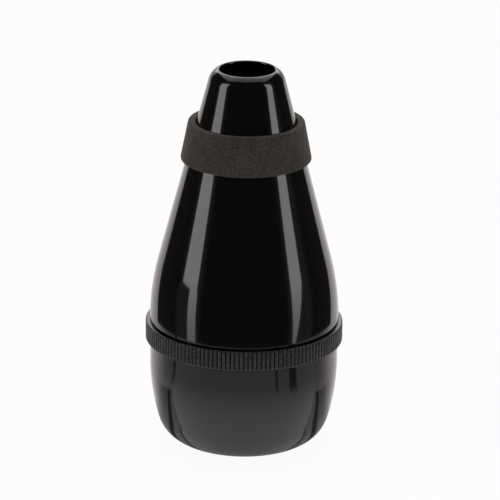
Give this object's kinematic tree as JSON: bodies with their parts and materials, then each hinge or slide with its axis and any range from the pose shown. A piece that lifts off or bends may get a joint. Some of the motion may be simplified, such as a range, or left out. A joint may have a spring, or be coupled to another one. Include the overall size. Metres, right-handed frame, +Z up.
{
  "type": "trumpet practice mute",
  "caption": "Tapered plastic practice mute for a trumpet: cone and bowl shells joined by a knurled screw ring, with a foam sealing collar on the neck.",
  "frame": {"origin": "middle of the flat foot, on the surface that the mute stands on", "axes": "+Z up the axis of the mute, from the foot to the mouth; the mute is round, so +X and +Y are any two directions square to it"},
  "size_m": [0.08, 0.08, 0.1565],
  "materials": {
    "shell_plastic": "gloss",
    "ring_plastic": "satin",
    "collar_foam": "matte",
    "black_rubber": "matte",
    "inner_plastic": "satin",
    "inner_foam": "matte"
  },
  "bodies": {
    "bowl": {"bowl_shell": "shell_plastic", "sealing_ring": "black_rubber", "tube_grommet": "black_rubber", "baffle_disc": "inner_plastic", "breather_tube": "inner_plastic", "damping_foam": "inner_foam"},
    "ring": {"knurled_ring": "ring_plastic"},
    "cone": {"cone_shell": "shell_plastic", "foam_collar": "collar_foam"}
  },
  "joints": [
    {"name": "ring_turn", "type": "hinge", "parent": "bowl", "child": "ring", "pos_m": [0, 0, 0.0469], "axis": [0, 0, -1], "range_deg": [0, 540]},
    {"name": "cone_lift", "type": "slide", "parent": "bowl", "child": "cone", "axis": [0, 0, 1], "range_m": [0, 0.003]}
  ],
  "couplings": [
    {"joint": "cone_lift", "follows": "ring_turn", "m_per_rad": 0.0003183}
  ]
}
